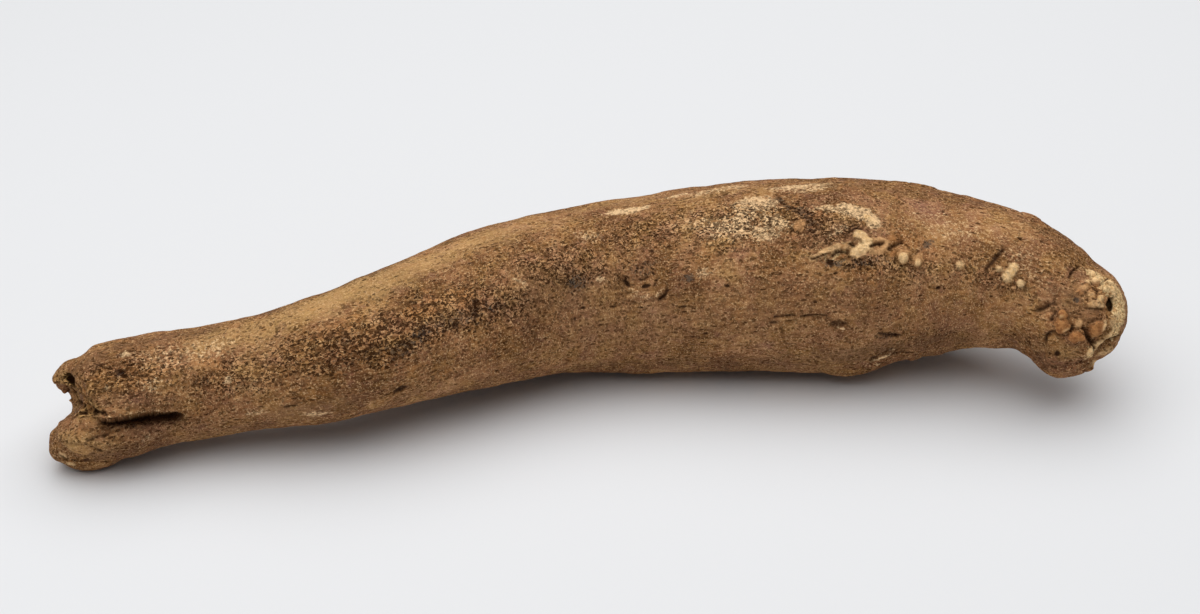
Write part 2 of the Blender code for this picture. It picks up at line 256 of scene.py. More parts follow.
# A crack or slit: the pixels along it, its half width and its depth in mm.
Crack = namedtuple("Crack", "pixels half_width depth")
CRACKS = [
    # Between and around the tip's nodules.
    Crack([(1045, 341), (1046, 336), (1049, 333), (1055, 333), (1060, 336)], 0.36, 0.9),
    Crack([(1037, 311), (1042, 309), (1047, 306)], 0.42, 0.8),
    Crack([(1047, 305), (1052, 303.5), (1056, 304)], 0.22, 0.25),
    Crack([(1055, 311), (1052, 315), (1050, 320)], 0.3, 0.45),
    Crack([(1060, 336), (1067, 336), (1072, 331), (1074, 325)], 0.26, 0.4),
    Crack([(1085, 329), (1087, 334), (1090, 340), (1094, 344)], 0.4, 1.1),
    Crack([(1094, 344), (1095, 349), (1092, 355)], 0.24, 0.35),
    Crack([(1099, 350), (1106, 341), (1113, 338), (1120, 334)], 0.3, 0.7),
    Crack([(1070, 277), (1073, 271), (1080, 266)], 0.25, 0.35),
    Crack([(1100, 284), (1104, 281), (1108, 278)], 0.22, 0.3),
    Crack([(1094, 288), (1097, 291), (1096, 299)], 0.22, 0.3),
    Crack([(1086, 308), (1094, 309), (1102, 309)], 0.2, 0.2),
    # Along the crest.
    Crack([(832, 255), (836, 252), (842, 251), (848, 252)], 0.36, 0.6),
    Crack([(870, 247), (875, 244), (883, 243)], 0.34, 0.5),
    Crack([(850, 244), (854, 246)], 0.3, 0.4),
    Crack([(889, 249), (894, 245), (902, 242)], 0.42, 0.5),
    Crack([(812, 259), (822, 256), (830, 253)], 0.25, 0.3),
    Crack([(849, 232), (855, 228), (862, 229)], 0.3, 0.35),
    Crack([(986, 269), (995, 259), (1003, 249)], 0.45, 0.3),
    # Slits of the flank and the shaft.
    Crack([(775, 317), (786, 316), (796, 316)], 0.24, 0.35),
    Crack([(801, 317), (812, 315.5), (826, 316)], 0.3, 0.45),
    Crack([(770, 323), (777, 323)], 0.2, 0.2),
    Crack([(880, 334), (890, 336), (900, 336)], 0.38, 0.4),
    Crack([(284, 408), (297, 406)], 0.24, 0.3),
    Crack([(222, 425), (232, 423)], 0.24, 0.3),
    Crack([(475, 301), (475.5, 312), (475, 322)], 0.26, 0.25),
    Crack([(667, 291), (665, 295), (660, 299)], 0.36, 0.6),
    Crack([(659, 278), (656, 281), (655, 285)], 0.28, 0.45),
    Crack([(641, 279.5), (645, 278.5), (648, 277)], 0.26, 0.45),
    Crack([(680, 307.5), (686, 307)], 0.2, 0.2),
    Crack([(872, 360), (880, 355), (892, 350)], 0.3, 0.5),
    Crack([(893, 354), (903, 353), (914, 352)], 0.25, 0.3),
    # The edge of the fracture.
    Crack([(72, 384), (77, 391), (84, 397)], 0.3, 0.5),
    Crack([(66, 386), (70, 391), (73, 397)], 0.28, 0.5),
    Crack([(80, 402), (85, 406), (92, 413)], 0.35, 0.6),
    Crack([(87, 441), (98, 436), (108, 434)], 0.25, 0.25),
]

# A ridge, or a furrow if it sinks: the pixels along it, its half width and its rise in mm, and its tints.
Ridge = namedtuple("Ridge", "pixels half_width rise tints")
RIDGES = [
    # The cream hook of the crest and the ridges to its two sides.
    Ridge([(859, 236), (863, 237), (867, 241), (867, 246), (862, 250), (855, 253)], 1.3, 0.5, {"crust": 0.9}),
    Ridge([(848, 246), (841, 247)], 0.9, 0.3, {"crust": 0.4, "amber": 0.8}),
    Ridge([(838, 248), (830, 251), (822, 254)], 1.0, 0.4, {"crust": 0.6, "amber": 0.8}),
    Ridge([(822, 255), (812, 258.5)], 0.7, 0.25, {"crust": 0.55, "amber": 0.5}),
    Ridge([(875, 241), (881, 240), (886, 243), (885, 249)], 0.9, 0.25, {"crust": 0.35, "amber": 0.8}),
    Ridge([(883, 250), (877, 252), (871, 252)], 0.8, 0.15, {"crust": 0.3, "amber": 0.8}),
    # The double bead, and a painted highlight along the lip over the cleft.
    Ridge([(1014, 267), (1012, 272), (1007, 277)], 1.15, 0.4, {"crust": 1}),
    Ridge([(106, 417), (131, 413.5), (154, 410.6), (174, 410.8)], 0.22, 0.03, {"pale_and_highlight": 0.5}),
    # The dark squiggle over the pale patch.
    Ridge([(777, 196), (784, 203), (792, 208), (801, 211), (808, 216), (812, 225)], 0.9, -0.25, {"stain_and_shade": 1, "rust": 0.6}),
    Ridge([(798, 203), (805, 209), (812, 214)], 0.5, -0.2, {"stain_and_shade": 1}),
]

# A ledge: the pixels along its overhanging edge, and how deep the shadowed furrow under it is and reaches, in mm.
Ledge = namedtuple("Ledge", "pixels depth reach")
LEDGES = [
    Ledge(
        [(98, 418), (106, 419), (113, 419), (120, 417.5), (131, 415.2), (143, 413), (154, 412.3), (166, 412), (176, 412.8), (187, 416)],
        1.6,
        2.0,
    ),
]

# A swelling with no edge, or a sunken place: it brings the bone's outline closer to the photograph's.
Swelling = namedtuple("Swelling", "u v long short turn rise")
SWELLINGS = [
    # The base.
    Swelling(64, 388, 2.0, 1.5, -50, 1.1),
    Swelling(68, 397, 1.6, 1.2, -60, 0.6),
    Swelling(58, 420, 2.2, 1.6, 0, -1.2),
    Swelling(71, 401, 1.6, 1.4, -80, 0.6),
    Swelling(97, 346, 2.2, 1.2, 25, -0.4),
    Swelling(205, 436, 9, 2.5, 5, 0.7),
    # The low side of the middle, and its keel.
    Swelling(740, 368, 28, 4, 0, 0.5),
    Swelling(866, 367, 5, 2.5, 15, 1.0),
    # Under the tip's bend, and the heel.
    Swelling(1002, 342, 5, 2.5, -5, 1.3),
    Swelling(1034, 364, 2.2, 2.0, -60, -0.8),
    Swelling(1062, 377, 3.0, 2, 0, -0.4),
    Swelling(1089, 366, 2.2, 1.8, 40, 1.2),
    Swelling(1107, 350, 3, 2, 45, 0.8),
    # The upper edge.
    Swelling(668, 192, 5, 2, 5, 0.4),
    Swelling(836, 179, 6, 2, 0, 0.25),
    Swelling(908, 184, 3, 1.5, -10, 0.4),
    Swelling(1034, 220, 5, 2.5, -35, 0.65),
]

# A broad field of one tint, as a spot with soft edges and no height.
Field = namedtuple("Field", "u v long short turn tint strength")
FIELDS = [
    # The ochre band along the shaft's upper edge, closed and smooth.
    Field(222, 338, 8, 4, 10, "ochre", 0.75),
    Field(268, 325, 9, 4.5, 15, "ochre", 0.85),
    Field(320, 303, 10, 5.5, 20, "ochre", 0.95),
    Field(370, 283, 10, 5.5, 22, "ochre", 0.95),
    Field(425, 262, 10, 4.5, 24, "ochre", 0.8),
    Field(480, 240, 10, 4, 22, "ochre", 0.7),
    Field(540, 225, 10, 3.5, 15, "ochre", 0.3),
    Field(345, 298, 5, 3, 20, "ochre", 1),
    Field(325, 303, 8, 3.2, 20, "smooth", 0.75),
    Field(395, 273, 10, 3.4, 24, "smooth", 0.7),
    Field(480, 238, 12, 2.6, 22, "smooth", 0.65),
    Field(560, 215, 10, 2.2, 14, "smooth", 0.4),
    Field(640, 198, 10, 2, 8, "smooth", 0.4),
    Field(620, 203, 12, 3, 8, "ochre", 0.35),
    Field(720, 192, 12, 2, 5, "ochre", 0.5),
    # Closed tan skin of the flank.
    Field(765, 303, 12, 2.6, 0, "smooth", 0.35),
    Field(745, 345, 16, 3.5, 0, "smooth", 0.15),
    Field(880, 305, 14, 5, 0, "smooth", 0.2),
    Field(970, 312, 14, 5, 0, "smooth", 0.5),
    Field(960, 225, 14, 5.5, -15, "smooth", 0.7),
    Field(480, 375, 12, 2.5, 10, "smooth", 0.5),
    Field(300, 412, 12, 2, 8, "smooth", 0.5),
    # Open, spongy skin.
    Field(400, 330, 20, 6, 20, "porous", 1),
    Field(330, 350, 14, 5, 15, "porous", 0.9),
    Field(250, 370, 14, 5, 12, "porous", 0.7),
    Field(480, 305, 14, 6, 15, "porous", 0.9),
    Field(560, 265, 14, 6, 12, "porous", 0.8),
    Field(650, 230, 14, 5, 8, "porous", 0.8),
    Field(740, 220, 16, 6, 4, "porous", 1),
    Field(820, 225, 10, 6, 0, "porous", 0.9),
    Field(890, 265, 12, 3, -5, "porous", 0.8),
    Field(990, 280, 9, 3, -15, "porous", 0.6),
    Field(130, 375, 14, 6, 15, "porous", 0.8),
    Field(90, 450, 8, 5, 10, "porous", 0.35),
    Field(1112, 305, 5, 9, -15, "porous", 0.35),
    # Pale and cream skin.
    Field(735, 226, 8, 3.2, 5, "pale_and_highlight", 0.75),
    Field(757, 204, 6, 3.2, 5, "pale_and_highlight", 0.85),
    Field(744, 218, 4.5, 2.6, 20, "pale_and_highlight", 0.8),
    Field(795, 187, 9, 1.8, 2, "pale_and_highlight", 0.7),
    Field(722, 189, 9, 1.6, 6, "pale_and_highlight", 0.6),
    Field(775, 222, 4, 2.4, -20, "pale_and_highlight", 0.8),
    Field(588, 235, 3.4, 1.8, -10, "pale_and_highlight", 0.5),
    Field(765, 232, 5, 2.4, 0, "pale_and_highlight", 0.8),
    Field(753, 200, 4, 2, 10, "pale_and_highlight", 0.85),
    Field(812, 189, 5, 1.4, 5, "pale_and_highlight", 0.65),
    Field(700, 225, 5, 3, 5, "pale_and_highlight", 0.5),
    Field(830, 208, 4, 1.4, -15, "pale_and_highlight", 0.8),
    Field(703, 273, 1.9, 1.4, 0, "pale_and_highlight", 0.6),
    Field(856, 212, 5.4, 1.9, -25, "pale_and_highlight", 1.15),
    Field(838, 230, 2.5, 1.2, 30, "pale_and_highlight", 0.6),
    Field(872, 221, 2.2, 1.6, -45, "pale_and_highlight", 1.4),
    Field(626, 210, 5.2, 1.5, 9, "pale_and_highlight", 1.3),
    Field(642, 207, 2.0, 1.2, 0, "pale_and_highlight", 1),
    Field(678, 196, 3.6, 1.1, 10, "pale_and_highlight", 0.65),
    Field(600, 279, 1.2, 0.9, 0, "pale_and_highlight", 0.9),
    Field(520, 281, 2.6, 0.6, -20, "pale_and_highlight", 0.8),
    Field(208, 350, 6, 3.6, 10, "pale_and_highlight", 0.45),
    Field(228, 380, 1.2, 0.8, 20, "pale_and_highlight", 0.8),
    Field(156, 384, 3.4, 2, 15, "pale_and_highlight", 0.5),
    Field(165, 358, 8, 4, 15, "pale_and_highlight", 0.38),
    Field(255, 413, 3.4, 0.8, 5, "pale_and_highlight", 0.6),
    Field(315, 414, 3.6, 0.8, 0, "pale_and_highlight", 0.6),
    Field(124, 353, 1.2, 0.8, 10, "pale_and_highlight", 0.8),
    Field(107, 389, 0.8, 0.7, 0, "pale_and_highlight", 0.7),
    Field(955, 228, 11, 4.5, -18, "pale_and_highlight", 0.3),
    Field(1025, 262, 7, 3, -40, "pale_and_highlight", 0.3),
    Field(150, 438, 1.6, 0.9, 20, "pale_and_highlight", 0.5),
    # Dark and blue-black stains.
    Field(421, 334, 3.4, 2.2, 35, "stain_and_shade", 1),
    Field(402, 350, 3.8, 2.4, 30, "stain_and_shade", 1),
    Field(372, 352, 5, 2.4, 20, "stain_and_shade", 0.75),
    Field(340, 345, 5, 2.2, 15, "stain_and_shade", 0.55),
    Field(345, 362, 4, 2, 20, "stain_and_shade", 0.6),
    Field(452, 322, 4, 2.2, 20, "stain_and_shade", 0.95),
    Field(475, 308, 1.2, 3.4, 0, "stain_and_shade", 1),
    Field(492, 306, 3.4, 1.4, 5, "stain_and_shade", 0.95),
    Field(480, 322, 5, 3, 20, "stain_and_shade", 0.6),
    Field(412, 300, 3.2, 2.4, 40, "stain_and_shade", 0.6),
    Field(370, 300, 1.6, 1.4, 40, "stain_and_shade", 0.6),
    Field(300, 338, 4, 1.6, 15, "stain_and_shade", 0.5),
    Field(578, 280, 4, 3.4, 30, "stain_and_shade", 0.8),
    Field(642, 269, 3.4, 2.0, 5, "stain_and_shade", 0.75),
    Field(520, 300, 5, 2.6, 10, "stain_and_shade", 0.4),
    Field(812, 228, 2, 2.2, 20, "stain_and_shade", 0.7),
    Field(855, 264, 7, 1.4, 3, "stain_and_shade", 0.75),
    Field(850, 228, 3, 1.6, 20, "stain_and_shade", 0.5),
    Field(880, 262, 4, 1.5, 0, "stain_and_shade", 0.6),
    Field(997, 256, 2.4, 0.9, 48, "stain_and_shade", 0.7),
    Field(890, 336, 3, 1.2, 0, "stain_and_shade", 0.8),
    Field(748, 344, 2.2, 1.5, 20, "stain_and_shade", 0.5),
    Field(765, 362, 3, 0.9, 3, "stain_and_shade", 0.6),
    Field(142, 372, 3, 1.6, 10, "stain_and_shade", 0.5),
    Field(202, 381, 2.4, 1.3, 10, "stain_and_shade", 0.7),
    Field(235, 385, 4, 2, 15, "stain_and_shade", 0.4),
    Field(118, 372, 2, 1.4, -20, "stain_and_shade", 0.5),
    # Painted shade under the cleft's lip.
    Field(125, 424, 5, 1.4, 3, "stain_and_shade", 0.7),
    Field(155, 430, 9, 2.4, 6, "stain_and_shade", 0.3),
    Field(108, 455, 4, 2.4, 10, "umber_and_shade", 0.8),
    Field(66, 432, 3, 2, 60, "stain_and_shade", 0.3),
    Field(1040, 350, 3, 4, 40, "umber_and_shade", 0.6),
    Field(926, 245, 1.8, 1.0, 35, "blue", 1),
    Field(834, 264, 2.2, 1.0, 0, "blue", 1),
    Field(861, 264, 2.6, 0.8, 0, "blue", 0.7),
    Field(577, 282, 2.6, 2.0, 20, "blue", 0.75),
    Field(687, 278, 1.7, 1.2, 10, "blue", 0.9),
    Field(418, 336, 2.6, 1.4, 35, "blue", 0.7),
    Field(490, 308, 1.8, 0.8, 0, "blue", 0.7),
    # Rust-orange and reddish skin.
    Field(420, 310, 5, 1.8, 20, "rust", 0.9),
    Field(455, 300, 5, 2, 15, "rust", 0.8),
    Field(340, 325, 6, 1.6, 20, "rust", 0.6),
    Field(440, 338, 4, 1.5, 20, "rust", 0.5),
    Field(205, 362, 4, 1.6, 0, "rust", 0.8),
    Field(140, 346, 5, 1.2, 15, "rust", 0.6),
    Field(165, 370, 4, 2, 20, "rust", 0.5),
    Field(900, 243, 6, 2.2, 5, "rust", 0.8),
    Field(930, 255, 3, 1.4, 10, "rust", 0.7),
    Field(812, 212, 3, 2, 0, "rust", 0.5),
    Field(860, 272, 6, 1.2, 0, "rust", 0.4),
    Field(1095, 300, 4, 5, 0, "rust", 0.6),
    Field(1070, 330, 5, 4, 0, "rust", 0.5),
    Field(85, 452, 4, 1.8, 10, "rust", 0.5),
    Field(80, 447, 6, 3, 5, "ochre", 0.9),
    Field(920, 206, 5, 3, -20, "red", 1),
    Field(880, 205, 5, 2.6, -10, "red", 0.5),
    Field(870, 232, 4, 1.6, -10, "red", 0.7),
    Field(648, 355, 3, 1.4, 10, "red", 0.7),
    Field(760, 350, 4, 2, 0, "red", 0.4),
    Field(860, 365, 6, 1.2, 5, "red", 0.6),
    Field(950, 325, 6, 2, 0, "red", 0.35),
    Field(130, 400, 4, 2, 5, "red", 0.5),
    Field(150, 428, 6, 1.8, 6, "red", 0.5),
    Field(1060, 366, 6, 2, 0, "red", 0.4),
    # Crust without a height of its own: the porous rim of the tip, and films along the crest.
    Field(1120, 310, 2.4, 5, -5, "film", 0.95),
    Field(1116, 330, 1.6, 2.6, -35, "film", 0.6),
    Field(1112, 286, 3.2, 2.2, -50, "film", 1.1),
    Field(1096, 275, 2.8, 1.8, -30, "film", 0.8),
    Field(1091, 355, 1.2, 2.0, 0, "film", 0.6),
    Field(866, 246, 3.4, 2.2, 10, "film", 0.4),
    Field(838, 250, 5, 1.6, 25, "film", 0.4),
    # Skin with deeper relief.
    Field(105, 372, 14, 9, 15, "craggy", 1),
    Field(90, 445, 9, 7, 10, "craggy", 0.5),
    Field(190, 365, 12, 7, 10, "craggy", 0.7),
    Field(740, 220, 14, 6, 5, "craggy", 0.8),
    Field(850, 240, 12, 7, 0, "craggy", 1),
    Field(960, 275, 12, 4, -10, "craggy", 0.5),
    Field(1085, 310, 9, 12, 0, "craggy", 1),
    Field(1060, 355, 8, 5, 0, "craggy", 0.45),
    Field(880, 360, 10, 3, 5, "craggy", 0.8),
    # Dark umber skin, and painted shade along the bone's low side.
    Field(90, 360, 7, 2.6, 25, "umber_and_shade", 0.75),
    Field(130, 345, 9, 2.6, 12, "umber_and_shade", 0.9),
    Field(170, 337, 8, 1.8, 6, "umber_and_shade", 0.8),
    Field(205, 331, 5, 1.2, 6, "umber_and_shade", 0.6),
    Field(105, 400, 6, 2.6, 10, "umber_and_shade", 0.5),
    Field(150, 405, 9, 2.6, 5, "umber_and_shade", 0.5),
    # Painted shade along the low side, where the bone faces down, from the lower lobe to the tip's bend.
    Field(150, 440, 10, 4, 10, "umber_and_shade", 0.6),
    Field(120, 462, 7, 2, 10, "umber_and_shade", 0.6),
    Field(230, 430, 12, 2.4, 8, "umber_and_shade", 0.5),
    Field(320, 408, 14, 3, 10, "umber_and_shade", 0.65),
    Field(400, 400, 8, 1.6, 10, "umber_and_shade", 0.4),
    Field(480, 385, 12, 1.6, 10, "umber_and_shade", 0.4),
    Field(590, 366, 14, 2, 3, "umber_and_shade", 0.5),
    Field(700, 362, 14, 3.2, 0, "umber_and_shade", 0.6),
    Field(790, 362, 12, 3.6, 0, "umber_and_shade", 0.65),
    Field(860, 355, 12, 4, 5, "umber_and_shade", 0.9),
    Field(930, 342, 14, 3.4, 6, "umber_and_shade", 0.6),
    Field(1010, 345, 8, 2.4, -10, "umber_and_shade", 0.5),
    # Umber skin of the flank, the tip and the upper edge.
    Field(640, 318, 24, 8, 4, "umber_and_shade", 0.5),
    Field(800, 310, 24, 8, 0, "umber_and_shade", 0.4),
    Field(900, 290, 16, 5, 0, "umber_and_shade", 0.2),
    Field(555, 292, 13, 6, 15, "umber_and_shade", 0.85),
    Field(1072, 303, 5, 4, 0, "umber_and_shade", 0.9),
    Field(1085, 312, 4, 3, 0, "umber_and_shade", 0.8),
    Field(1068, 350, 3, 2.4, 0, "ochre", 0.5),
    Field(880, 188, 16, 1.8, -8, "umber_and_shade", 0.35),
    Field(985, 206, 12, 1.4, -20, "umber_and_shade", 0.4),
    Field(1045, 233, 8, 1.4, -40, "umber_and_shade", 0.4),
    Field(840, 235, 9, 5, -10, "umber_and_shade", 0.5),
    # The fracture of the base: its spongy inside.
    Field(72, 382, 3.4, 2.2, -40, "spongy", 1),
    Field(78, 396, 3.4, 1.6, -55, "spongy", 1),
    Field(92, 410, 3.2, 1.6, -25, "spongy", 0.9),
    Field(84, 415, 4.0, 1.6, -10, "spongy", 0.7),
    Field(84, 402, 2.4, 1.0, -50, "rust", 0.6),
    Field(92, 414, 3.2, 1.6, -10, "red", 1),
]
# The tints laid on the bone. The last is painted shade, darkening pits, cracks, moats and the furrow under the ledge.
TINTS = (
    "crust", "film", "amber", "pale_and_highlight", "ochre", "rust", "red", "blue", "stain_and_shade", "umber_and_shade", "smooth", "porous", "spongy", "craggy",
    "recess_shade",
)


def through_pixel(u, v):
    """The direction from the eye through a pixel of the photograph."""
    lens_pixels = PHOTO_WIDTH * LENS / SENSOR
    return (RIGHT * (u - PHOTO_WIDTH / 2) + UP * (PHOTO_HEIGHT / 2 - v) - BACK * lens_pixels).normalized()


def solid_tree():
    node = frame["nodes"]["baculum"]
    mesh = node.data
    return BVHTree.FromPolygons([v.co for v in mesh.vertices], [p.vertices for p in mesh.polygons])


def seen_at(tree, u, v):
    """The point of the solid that a pixel shows, or that its sight line passes closest, and the way it faces."""
    ray = through_pixel(u, v)
    hit, normal, _, _ = tree.ray_cast(EYE, ray)
    if hit is None:
        passed = (tree.find_nearest(EYE + ray * step * MM) for step in range(NEAREST_MM, FARTHEST_MM))
        hit, normal, _, _ = min(passed, key=lambda found: found[3])
    return hit, normal if normal.dot(BACK) > 0 else -normal


def baked(obj, *modifiers):
    """The mesh that the object has once these modifiers are applied."""
    graph = bpy.context.evaluated_depsgraph_get()
    mesh = bpy.data.meshes.new_from_object(obj.evaluated_get(graph), depsgraph=graph)
    for modifier in modifiers:
        obj.modifiers.remove(modifier)
    old = obj.data
    obj.data = mesh
    bpy.data.meshes.remove(old)
    return mesh


def fine_bone():
    """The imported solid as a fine, even mesh with its facets smoothed away."""
    bone = bpy.data.objects.new("bone", frame["nodes"]["baculum"].data.copy())
    bpy.context.scene.collection.objects.link(bone)
    fine = bone.modifiers.new("fine", "REMESH")
    fine.mode = "VOXEL"
    fine.voxel_size = FINE_VOXEL
    even = bone.modifiers.new("even", "SMOOTH")
    even.factor = 0.5
    even.iterations = FACET_SMOOTHING
    baked(bone, fine, even)
    return bone


def along_bone(points):
    """Each point's place in the bone's own grain, in mm: along its curved middle line, and to two sides of it."""
    edges = np.linspace(points[:, 0].min(), points[:, 0].max(), 41)
    slab = np.clip(np.digitize(points[:, 0], edges) - 1, 0, 39)
    count = np.bincount(slab, minlength=40)
    middle = np.stack([np.bincount(slab, points[:, axis], minlength=40) / count for axis in range(3)], 1)
    softened = middle.copy()
    for _ in range(3):
        softened[1:-1] = (softened[:-2] + softened[1:-1] + softened[2:]) / 3
    steps = np.linalg.norm(np.diff(softened, axis=0), axis=1)
    length = np.concatenate([[0], np.cumsum(steps)])
    tangent = np.gradient(softened, axis=0)
    tangent /= np.linalg.norm(tangent, axis=1, keepdims=True)

    def at_points(values):
        return np.interp(points[:, 0], softened[:, 0], values)

    here = np.stack([at_points(softened[:, axis]) for axis in range(3)], 1)
    forward = np.stack([at_points(tangent[:, axis]) for axis in range(3)], 1)
    across = np.cross(forward, [0, 0, 1])
    across /= np.linalg.norm(across, axis=1, keepdims=True)
    over = np.cross(across, forward)
    offset = points - here
    run = at_points(length) + np.einsum("ij,ij->i", offset, forward)
    sides = [np.einsum("ij,ij->i", offset, axis) for axis in (across, over)]
    return np.stack([run, *sides], 1) / MM


def noise_at(places, spacing, octaves=1):
    """Smooth noise from about -1 to 1 at places that are in mm, with features this many mm apart."""
    scaled = places / spacing
    return np.array([noise.fractal(Vector(place), 1.0, 2.0, octaves) for place in scaled])


def pores_at(places, spacing):
    """How deep in a pore each place is, from 0 outside to 1 at its middle. About a third of the cells have none."""
    depth = np.zeros(len(places))
    for index, place in enumerate(places / spacing):
        distances, centres = noise.voronoi(Vector(place))
        if noise.cell(centres[0] * 7.3) > 0.35:
            depth[index] = max(0.0, 1 - (distances[0] / PORE_REACH) ** 2)
    return depth


def smooth_step(values, low, high):
    t = np.clip((values - low) / (high - low), 0, 1)
    return t * t * (3 - 2 * t)


def patch_distance(points, middle, normal, long, short, turn):
    """Distance from a patch's middle in radii of the patch. 1 is its rim. It is laid square to the surface."""
    side = (RIGHT - normal * RIGHT.dot(normal)).normalized()
    rise = normal.cross(side)
    angle = math.radians(turn)
    ahead = side * math.cos(angle) + rise * math.sin(angle)
    aside = normal.cross(ahead)
    offset = (points - np.array(middle)) / MM
    deep = max(short, 1.5)
    return np.sqrt(
        (offset @ np.array(ahead) / long) ** 2
        + (offset @ np.array(aside) / short) ** 2
        + (offset @ np.array(normal) / deep) ** 2
    )


def path_distance(points, path):
    """Distance in mm from each point to a chain of straight stretches."""
    nearest = np.full(len(points), np.inf)
    for start, end in zip(path, path[1:]):
        run = end - start
        t = np.clip((points - start) @ run / (run @ run), 0, 1)
        nearest = np.minimum(nearest, np.linalg.norm(points - (start + t[:, None] * run), axis=1))
    return nearest / MM


def pixels_of(points):
    """The photograph's pixel that shows each point."""
    offset = points - np.array(EYE)
    lens_pixels = PHOTO_WIDTH * LENS / SENSOR / (offset @ -np.array(BACK))
    u = PHOTO_WIDTH / 2 + offset @ np.array(RIGHT) * lens_pixels
    v = PHOTO_HEIGHT / 2 - offset @ np.array(UP) * lens_pixels
    return u, v


def lay_swellings(tree, points, height):
    for swelling in SWELLINGS:
        middle, normal = seen_at(tree, swelling.u, swelling.v)
        distance = patch_distance(points, middle, normal, swelling.long, swelling.short, swelling.turn)
        height += swelling.rise * np.exp(-(distance**2))


def lay_ledges(tree, points, height, tints):
    """Sinks and darkens what the photograph shows just under the ledge's edge. Above it nothing changes."""
    u, v = pixels_of(points)
    for ledge in LEDGES:
        across, down = zip(*ledge.pixels)
        path = [np.array(seen_at(tree, *pixel)[0]) for pixel in ledge.pixels]
        near = path_distance(points, path) < LEDGE_NEARNESS
        ends = smooth_step(u, across[0] - 2, across[0] + 8) * (1 - smooth_step(u, across[-1] - 10, across[-1] + 2))
        below = (v - np.interp(u, across, down)) * MM_PER_PIXEL
        under = smooth_step(below, -0.12, 0.12) * near * ends
        height -= ledge.depth * under * np.exp(-np.clip(below, 0, None) / ledge.reach)
        # Painted shade under the ledge's edge, fading downward.
        shade = 1 - smooth_step(below / ledge.reach, 0.3, 1.8)
        tints["recess_shade"] = np.maximum(tints["recess_shade"], under * shade)


def lay_ridges(tree, points, wobble, height, tints):
    for ridge in RIDGES:
        path = [np.array(seen_at(tree, u, v)[0]) for u, v in ridge.pixels]
        distance = path_distance(points, path) / ridge.half_width + RIDGE_WOBBLE * wobble
        height += ridge.rise * np.clip(1 - distance**2, 0, 1) ** 0.6
        moat = np.exp(-(((distance - 1.25) / 0.2) ** 2)) * max(ridge.rise - 0.2, 0)
        height -= MOAT_DEPTH * moat
        # The moat is darkened with painted shade.
        tints["recess_shade"] = np.maximum(tints["recess_shade"], MOAT_SHADE * moat)
        cover = 1 - smooth_step(distance, DOME_BLEND, 1.1)
        for tint, strength in ridge.tints.items():
            tints[tint] = np.maximum(tints[tint], strength * cover)


def lay_spots(tree, points, wobble, height, tints):
    """Domes and hollows. A dome stands in a thin sunken moat, as a nodule that has grown on the bone does; the moat and
    most hollows are darkened with painted shade.
    """
    for spot in SPOTS:
        middle, normal = seen_at(tree, spot.u, spot.v)
        distance = patch_distance(points, middle, normal, spot.long, spot.short, spot.turn)
        distance *= 1 + SPOT_WOBBLE * wobble
        dome = np.clip(1 - distance**2, 0, 1) ** 0.7
        moat = np.exp(-(((distance - 1.1) / 0.14) ** 2)) * max(spot.rise, 0)
        height += spot.rise * dome - MOAT_DEPTH * moat
        tints["recess_shade"] = np.maximum(tints["recess_shade"], MOAT_SHADE * moat)
        cover = 1 - smooth_step(distance, DOME_BLEND if spot.rise > 0 else PIT_BLEND, 1.1)
        for tint, strength in spot.tints.items():
            tints[tint] = np.maximum(tints[tint], strength * cover)


def lay_cracks(tree, points, wobble, height, tints):
    for crack in CRACKS:
        path = [np.array(seen_at(tree, u, v)[0]) for u, v in crack.pixels]
        distance = path_distance(points, path) + CRACK_WOBBLE * wobble
        cut = np.exp(-((np.clip(distance, 0, None) / crack.half_width) ** 2))
        height -= crack.depth * cut
        # Painted shade: the crack is darkened, the more so the deeper it is.
        tints["recess_shade"] = np.maximum(tints["recess_shade"], cut * min(1, 0.65 + crack.depth))
        tints["amber"] *= 1 - cut
        tints["crust"] *= 1 - cut


def lay_fields(tree, points, wobble, tints):
    for field in FIELDS:
        middle, normal = seen_at(tree, field.u, field.v)
        distance = patch_distance(points, middle, normal, field.long, field.short, field.turn)
        distance *= 1 + FIELD_WOBBLE * wobble
        cover = np.minimum(1, (1 - smooth_step(distance, 0.35, 1.35)) * field.strength)
        tints[field.tint] = np.maximum(tints[field.tint], cover)


def vertex_arrays(mesh):
    points = np.empty(len(mesh.vertices) * 3)
    normals = np.empty(len(mesh.vertices) * 3)
    mesh.vertices.foreach_get("co", points)
    mesh.vertex_normals.foreach_get("vector", normals)
    return points.reshape(-1, 3), normals.reshape(-1, 3)


def keep_attribute(mesh, name, values, kind="FLOAT", field="value"):
    mesh.attributes.new(name, kind, "POINT").data.foreach_set(field, np.ascontiguousarray(values, dtype=np.float32).ravel())


